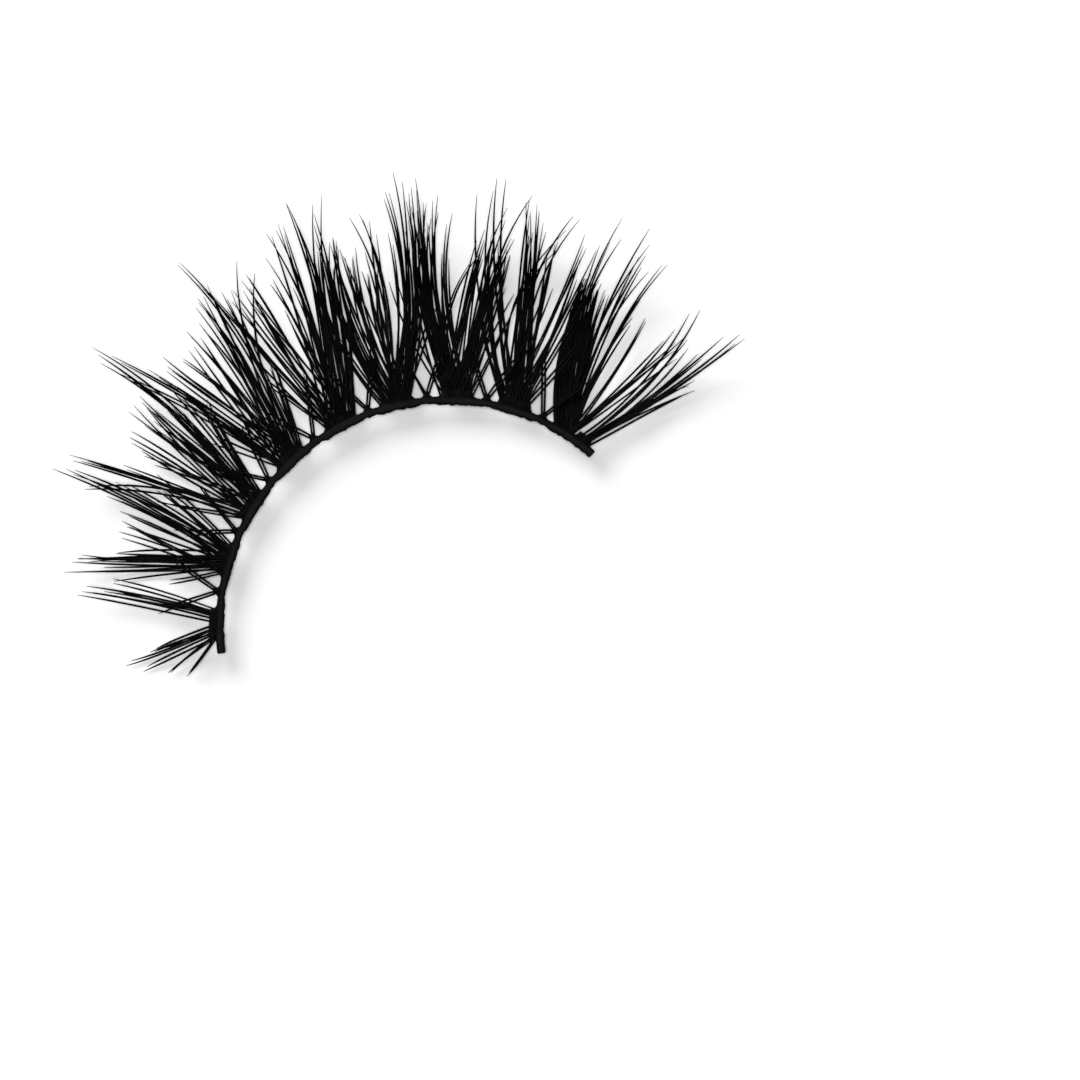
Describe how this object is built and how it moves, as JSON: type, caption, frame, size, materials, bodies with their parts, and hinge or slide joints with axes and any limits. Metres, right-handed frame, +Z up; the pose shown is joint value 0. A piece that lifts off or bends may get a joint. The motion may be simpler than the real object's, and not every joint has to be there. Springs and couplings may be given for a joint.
{
  "type": "false eyelash strip",
  "caption": "Strip of false eyelashes for one eye: a thin curved band with fans of long crossed lashes and small knots between them.",
  "frame": {"origin": "bottom centre of the strip's box, on the surface that the lashes rest on", "axes": "+X along the line between the band's ends, towards the outer corner of the eye; +Y the way the lashes point; +Z up, the way the tips curl"},
  "size_m": [0.0454, 0.0234, 0.005],
  "materials": {
    "band_thread": "satin",
    "lash_hair": "silky",
    "tie_thread": "satin"
  },
  "bodies": {
    "root": {"band": "band_thread", "fan_01": "lash_hair", "fan_02": "lash_hair", "fan_03": "lash_hair", "fan_04": "lash_hair", "fan_05": "lash_hair", "fan_06": "lash_hair", "fan_07": "lash_hair", "fan_08": "lash_hair", "fan_09": "lash_hair", "fan_10": "lash_hair", "tie_01": "tie_thread", "tie_02": "tie_thread", "tie_03": "tie_thread", "tie_04": "tie_thread", "tie_05": "tie_thread", "tie_06": "tie_thread", "tie_07": "tie_thread", "tie_08": "tie_thread"}
  },
  "joints": []
}
